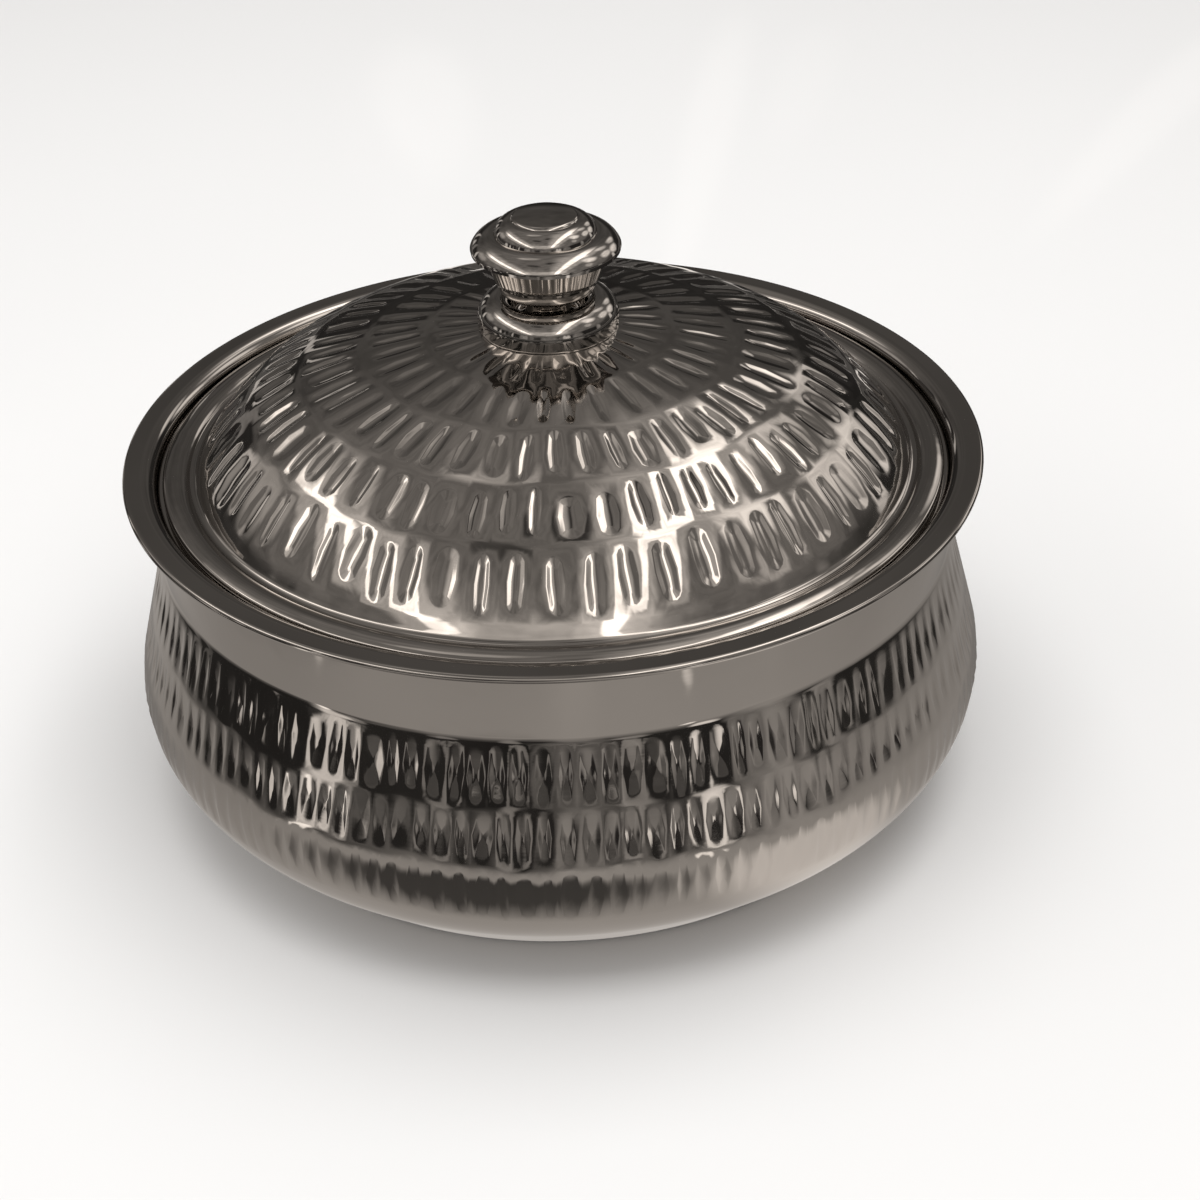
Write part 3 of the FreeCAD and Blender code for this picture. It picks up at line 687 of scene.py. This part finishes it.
# --------------------------------------------------------------------------------------------------
# Knob cup
# The lower half of the hollow knob, spun from stainless sheet: a narrow neck that opens into a cup with
# a small flange. It stands on the ring and is held by the stud's head inside it.
# --------------------------------------------------------------------------------------------------
KNOB_GAUGE = 0.8
KNOB_NECK, KNOB_NECK_FOOT, KNOB_NECK_RISE, KNOB_NECK_FLARE = 6.2, 0.8, 3.4, 5.1
CUP_BEND, CUP_SLOPE, CUP_WALL_RISE, CUP_LIP_BEND, CUP_FLANGE = 2, 68, 9.8, 1.2, 20.2

cup = [(STUD_HOLE, ring_top)]
run(cup, KNOB_NECK - KNOB_NECK_FOOT, ring_top)
bend(cup, KNOB_NECK_FOOT, 0, 90, step=TIGHT_STEP)
run(cup, KNOB_NECK, ring_top + KNOB_NECK_RISE)
bend(cup, KNOB_NECK_FLARE, 90, 0)
bend(cup, CUP_BEND, 0, CUP_SLOPE)
run_up(cup, CUP_SLOPE, CUP_WALL_RISE)
bend(cup, CUP_LIP_BEND, CUP_SLOPE, 0, step=TIGHT_STEP)
run(cup, CUP_FLANGE, cup[-1][1])
knob_cup = spun("knob_lower_half", cup + back_face(cup, KNOB_GAUGE)[::-1], KNOB_STEPS)
polished_shading(knob_cup)
knob_cup.data.materials.append(plain_steel)
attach(knob_cup, "lid")
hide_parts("knob_cup")

# --------------------------------------------------------------------------------------------------
# Knob stud, washer and nut
# A turned steel stud whose head lies inside the cup, with a plain washer and a hexagon nut under the
# dome. The nut draws the knob and its ring down before the foam is poured round it.
# --------------------------------------------------------------------------------------------------
PLAIN_STEEL = (0.42, 0.42, 0.41)
TURNED_GLOSS = (0.28, 0.42)     # least and greatest roughness
TURNING = (300, 2, (1, 1, 12))  # scale and detail of the turning marks, close together up the axis

fastener, nodes, links, shader = blank_material("fastener")
shader.inputs["Base Color"].default_value = (*PLAIN_STEEL, 1)
shader.inputs["Metallic"].default_value = 1
fastener_place = nodes.new("ShaderNodeTexCoord").outputs["Object"]
turning = noise_of(nodes, links, fastener_place, *TURNING)
links.new(spread(nodes, links, turning, *TURNED_GLOSS), shader.inputs["Roughness"])
for node in ("knob_stud", "knob_washer", "knob_nut"):
    dressed(node, fastener)

# --------------------------------------------------------------------------------------------------
# Knob cap
# The upper half of the knob, spun from the same sheet in two rounded tiers under a shallow button. It is
# closed over the cup's flange and polished with it.
# --------------------------------------------------------------------------------------------------
CAP_FOOT, CAP_EDGE_BEND, CAP_SIDE_SLOPE = 20.35, 1.5, 115
CAP_LOWER_BEND, CAP_LOWER_END = 6.2, 186
CAP_UPPER_BEND, CAP_UPPER_START, CAP_UPPER_END = 5, 102, 178
BUTTON_BEND, BUTTON_START, BUTTON_TOP_SLOPE = 1.2, 112, 8
BUTTON_STEP = 1.25          # degrees from ring to ring of its shallow top

cap = [(CAP_FOOT, cup[-1][1] + KNOB_GAUGE)]
bend(cap, CAP_EDGE_BEND, 90, CAP_SIDE_SLOPE)
bend(cap, CAP_LOWER_BEND, CAP_SIDE_SLOPE, CAP_LOWER_END, step=BEAD_STEP)
bend(cap, CAP_UPPER_BEND, CAP_UPPER_START, CAP_UPPER_END, step=BEAD_STEP)
bend(cap, BUTTON_BEND, BUTTON_START, 180 - BUTTON_TOP_SLOPE)
button_bend = cap[-1][0] / math.sin(math.radians(BUTTON_TOP_SLOPE))
bend(cap, button_bend, 180 - BUTTON_TOP_SLOPE, 180, step=BUTTON_STEP)
cap[-1] = (0, cap[-1][1])
knob_cap = spun("knob_upper_half", cap + back_face(cap, KNOB_GAUGE)[::-1], KNOB_STEPS)
polished_shading(knob_cap)
knob_cap.data.materials.append(plain_steel)
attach(knob_cap, "lid")
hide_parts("knob_cap")

# --------------------------------------------------------------------------------------------------
# Floor, light and camera
# A plain pale floor under soft boxes in a plain room. A dome and a mat that only the steel can see
# stand in for the rest of the room, with its soft lights and shadows, so that the mirror finish has
# something to show.
# --------------------------------------------------------------------------------------------------
FLOOR_SIDE = 8              # m
FLOOR_COLOUR = (0.78, 0.775, 0.77)
FLOOR_ROUGHNESS = 0.9
ROOM_COLOUR = (0.47, 0.46, 0.45)

bpy.ops.object.select_all(action="DESELECT")
bpy.ops.mesh.primitive_plane_add(size=FLOOR_SIDE, location=(0, 0, 0))
floor = bpy.context.object
floor.name = "floor"
floor_paint, nodes, links, shader = blank_material("floor")
shader.inputs["Base Color"].default_value = (*FLOOR_COLOUR, 1)
shader.inputs["Roughness"].default_value = FLOOR_ROUGHNESS
floor.data.materials.append(floor_paint)

world = bpy.data.worlds.new("room")
bpy.context.scene.world = world
world.use_nodes = True
world.node_tree.nodes["Background"].inputs["Color"].default_value = (*ROOM_COLOUR, 1)
world.node_tree.nodes["Background"].inputs["Strength"].default_value = 1


def soft_box(name, place, length, width, watts):
    """A rectangular lamp that faces the object, in metres; its length runs from the room's front to its
    back."""
    lamp = bpy.data.lights.new(name, "AREA")
    lamp.shape = "RECTANGLE"
    lamp.size, lamp.size_y = length, width
    lamp.energy = watts
    box = bpy.data.objects.new(name, lamp)
    bpy.context.collection.objects.link(box)
    box.location = place
    box.rotation_euler = Vector((place[0], 0, place[2])).to_track_quat("Z", "Y").to_euler()
    box.visible_camera = False
    box.visible_glossy = False


soft_box("left_box", (-1.5, -0.8, 1.35), length=3.6, width=0.6, watts=11)
soft_box("right_box", (0.75, -0.8, 1.7), length=3.6, width=0.6, watts=11)
soft_box("top_box", (0, 0, 1.6), length=1.4, width=1.4, watts=17.5)


def worked_out(nodes, links, operation, *values):
    """The outcome of one Math node over numbers and the outputs of other nodes."""
    step = nodes.new("ShaderNodeMath")
    step.operation = operation
    for socket, value in zip(step.inputs, values):
        if isinstance(value, (int, float)):
            socket.default_value = value
        else:
            links.new(value, socket)
    return step.outputs["Value"]


def eased(nodes, links, value, end, full, strength):
    """Rises smoothly from nothing to the strength as a value goes from its end to where it is full."""
    rise = nodes.new("ShaderNodeMapRange")
    rise.interpolation_type = "SMOOTHSTEP"
    rise.inputs["From Min"].default_value = end
    rise.inputs["From Max"].default_value = full
    rise.inputs["To Max"].default_value = strength
    links.new(value, rise.inputs["Value"])
    return rise.outputs["Result"]


ROOM_LIGHT = (1, 0.935, 0.875)
CM_PER_M = 100
GLOW_FULL = 0.6             # share of the way in from the rim of a patch to where it is full
STRIP_FULL = 0.5            # share of a strip's half width within which it is full
STRIP_ENDS = ((-2.2, -1.5), (1, 0.4))   # where a strip ends and where it is full, in front and behind
DARKEST = 0.03              # the least light before the mottling
MOTTLES = (2, 3)            # scale and detail of the room's unevenness
MOTTLING = (0.8, 1.2)       # least and greatest share of light that it leaves


def room_paint(name, level, glows, strips=(), lying=False):
    """Soft patches of light and shadow over an even level of light.

    A patch has an azimuth in degrees from the front, then an elevation in degrees or, on something that
    lies on the floor, a distance in cm from the axis; then half its width, half its height and how much
    it adds. A strip of light runs along the ceiling at a share of its height to the right, with half its
    width and its light."""
    paint, nodes, links, shader = blank_material(name)
    paint.cycles.emission_sampling = "NONE"
    place = nodes.new("ShaderNodeTexCoord").outputs["Object"]
    apart = nodes.new("ShaderNodeSeparateXYZ")
    links.new(place, apart.inputs["Vector"])
    x, y, z = apart.outputs
    azimuth = worked_out(nodes, links, "ARCTAN2", x, worked_out(nodes, links, "MULTIPLY", y, -1))
    squares = [worked_out(nodes, links, "MULTIPLY", side, side) for side in (x, y)]
    distance = worked_out(nodes, links, "SQRT", worked_out(nodes, links, "ADD", *squares))
    if lying:
        along = worked_out(nodes, links, "MULTIPLY", distance, CM_PER_M)
    else:
        along = worked_out(nodes, links, "DEGREES", worked_out(nodes, links, "ARCTAN2", z, distance))
    seen = nodes.new("ShaderNodeCombineXYZ")
    links.new(worked_out(nodes, links, "DEGREES", azimuth), seen.inputs["X"])
    links.new(along, seen.inputs["Y"])
    light = level
    for glow_azimuth, glow_along, half_width, half_height, strength in glows:
        centred = nodes.new("ShaderNodeMapping")
        centred.vector_type = "TEXTURE"
        centred.inputs["Location"].default_value = (glow_azimuth, glow_along, 0)
        centred.inputs["Scale"].default_value = (half_width, half_height, 1)
        links.new(seen.outputs["Vector"], centred.inputs["Vector"])
        fall = nodes.new("ShaderNodeTexGradient")
        fall.gradient_type = "SPHERICAL"
        links.new(centred.outputs["Vector"], fall.inputs["Vector"])
        patch = eased(nodes, links, fall.outputs["Fac"], 0, GLOW_FULL, strength)
        light = worked_out(nodes, links, "ADD", patch, light)
    across = worked_out(nodes, links, "DIVIDE", x, z)
    behind = worked_out(nodes, links, "DIVIDE", y, z)
    for offset, half_width, strength in strips:
        aside = worked_out(nodes, links, "SUBTRACT", across, offset)
        aside = worked_out(nodes, links, "ABSOLUTE", aside)
        strip = eased(nodes, links, aside, half_width, STRIP_FULL * half_width, strength)
        for end, full in STRIP_ENDS:
            within = eased(nodes, links, behind, end, full, 1)
            strip = worked_out(nodes, links, "MULTIPLY", strip, within)
        light = worked_out(nodes, links, "ADD", strip, light)
    mottle = spread(nodes, links, noise_of(nodes, links, place, *MOTTLES), *MOTTLING)
    light = worked_out(nodes, links, "MAXIMUM", light, DARKEST)
    light = worked_out(nodes, links, "MULTIPLY", light, mottle)
    links.new(light, shader.inputs["Emission Strength"])
    shader.inputs["Base Color"].default_value = (0, 0, 0, 1)
    shader.inputs["Specular IOR Level"].default_value = 0
    shader.inputs["Emission Color"].default_value = (*ROOM_LIGHT, 1)
    return paint


def shown_to_steel(wall, paint):
    """Leaves a wall out of what the camera, the floor and the lamps meet."""
    wall.visible_camera = False
    wall.visible_diffuse = False
    wall.visible_shadow = False
    wall.data.materials.append(paint)


ROOM_RADIUS = 4000
DOME_SEGMENTS, DOME_RINGS = 64, 32
MAT_HOLE, MAT_HEIGHT = 100, 1
DOME_LEVEL, MAT_LEVEL = 0.235, 0.42
ALL_ROUND = 4000            # half width in degrees of a patch that is alike on all sides
STREAK_AZIMUTHS = (-175, 175)
FAR_STREAKS, NEAR_STREAKS = 26, 40      # narrow upright patches of light and shade
FAR_STREAK_HEIGHT = 14      # half their height
ROOM_SEED = 3

chance = random.Random(ROOM_SEED)
far_glows = [
    # A broad light in front, shade along the horizon that fades towards the back, and a faint light
    (0, 31, 50, 13, 0.42), (0, 3, 400, 18, -0.17), (-20, 42, 30, 14, 0.1),
    # Lights on the right, and a weak one on the left
    (88, 46, 16, 14, 1.2), (112, 28, 14, 12, 1.0), (112, 62, 18, 9, 0.9), (132, 42, 10, 10, 0.6),
    (72, 32, 9, 9, 0.4), (-118, 20, 14, 12, 0.3), (129, 16, 12, 13, 1.0), (146, 26, 9, 10, 0.8),
    # Shades high up, and a light among them at the back
    (-35, 66, 26, 8, -0.14), (30, 80, 50, 7, -0.18), (150, 62, 30, 9, -0.18), (-150, 70, 30, 8, 0.4),
    # Shade at the back, on both sides of where the azimuth turns over, and to both sides of the front
    (180, 15, 70, 45, -0.14), (-180, 15, 70, 45, -0.14),
    (-60, 8, 26, 14, -0.14), (60, 8, 26, 14, -0.14),
    # Low lights in front and to the right of it, which go on over the mat
    (2, 4, 15, 16, 0.2), (46, 4, 13, 16, 0.3),
]
ceiling_strips = [(-1.1, 0.15, 1.8), (-1.15, 0.55, 0.5), (0.44, 0.13, 1.8), (0.46, 0.42, 0.45)]
for _ in range(FAR_STREAKS):
    half_width = chance.uniform(2, 6)
    strength = chance.choice((-0.15, -0.1, 0.15, 0.3, 0.8))
    azimuth = chance.uniform(*STREAK_AZIMUTHS)
    elevation = chance.uniform(0, 8)
    far_glows.append((azimuth, elevation, half_width, FAR_STREAK_HEIGHT, strength))
near_glows = [
    # Close to the foot: shade in front, a faint ring of light, and a light to the right
    (-14, 17, 44, 4.5, -0.34), (0, 10.5, ALL_ROUND, 3.5, 0.03), (40, 15, 24, 6, 0.4),
    # Two narrow lights and a shade for the neck
    (-54, 27, 2.5, 5, 1.2), (26, 27, 2.5, 5, 1.0), (-80, 30, 60, 9, -0.24),
    # Shade at the sides and the back
    (-110, 14, 45, 6, -0.16), (120, 14, 50, 6, -0.16),
    (-105, 40, 65, 15, -0.26), (105, 40, 65, 15, -0.2),
    # The low lights of the dome carried on, and a faint shade beside them
    (2, 62, 15, 45, 0.2), (46, 60, 13, 40, 0.3), (-36, 60, 14, 40, -0.05),
    # Two rings of shade
    (0, 58, ALL_ROUND, 36, -0.24), (0, 190, ALL_ROUND, 185, -0.32),
]
for _ in range(NEAR_STREAKS):
    half_width = chance.uniform(2, 7)
    half_height = chance.uniform(12, 26)
    strength = chance.choice((-0.1, 0.1, 0.3, 0.5, 1.1))
    azimuth = chance.uniform(*STREAK_AZIMUTHS)
    distance = chance.uniform(40, 60)
    near_glows.append((azimuth, distance, half_width, half_height, strength))

mat = spun("mat", [(MAT_HOLE, MAT_HEIGHT), (ROOM_RADIUS, MAT_HEIGHT)], closed=False)
shown_to_steel(mat, room_paint("mat_paint", MAT_LEVEL, near_glows, lying=True))
bpy.ops.object.select_all(action="DESELECT")
bpy.ops.mesh.primitive_uv_sphere_add(
    segments=DOME_SEGMENTS, ring_count=DOME_RINGS, radius=ROOM_RADIUS * MM, location=(0, 0, 0)
)
dome = bpy.context.object
dome.name = "room_dome"
shown_to_steel(dome, room_paint("dome_paint", DOME_LEVEL, far_glows, ceiling_strips))

FOCAL_LENGTH = 66
CAMERA_PLACE = (0, -0.54632, 0.39861)       # m
CAMERA_TURN = (57.0622, 1.3165, -2.1049)    # degrees

lens = bpy.data.cameras.new("camera")
lens.lens = FOCAL_LENGTH
camera = bpy.data.objects.new("camera", lens)
bpy.context.collection.objects.link(camera)
camera.location = CAMERA_PLACE
camera.rotation_euler = [math.radians(angle) for angle in CAMERA_TURN]
bpy.context.scene.camera = camera
bpy.context.scene.view_settings.view_transform = "Standard"
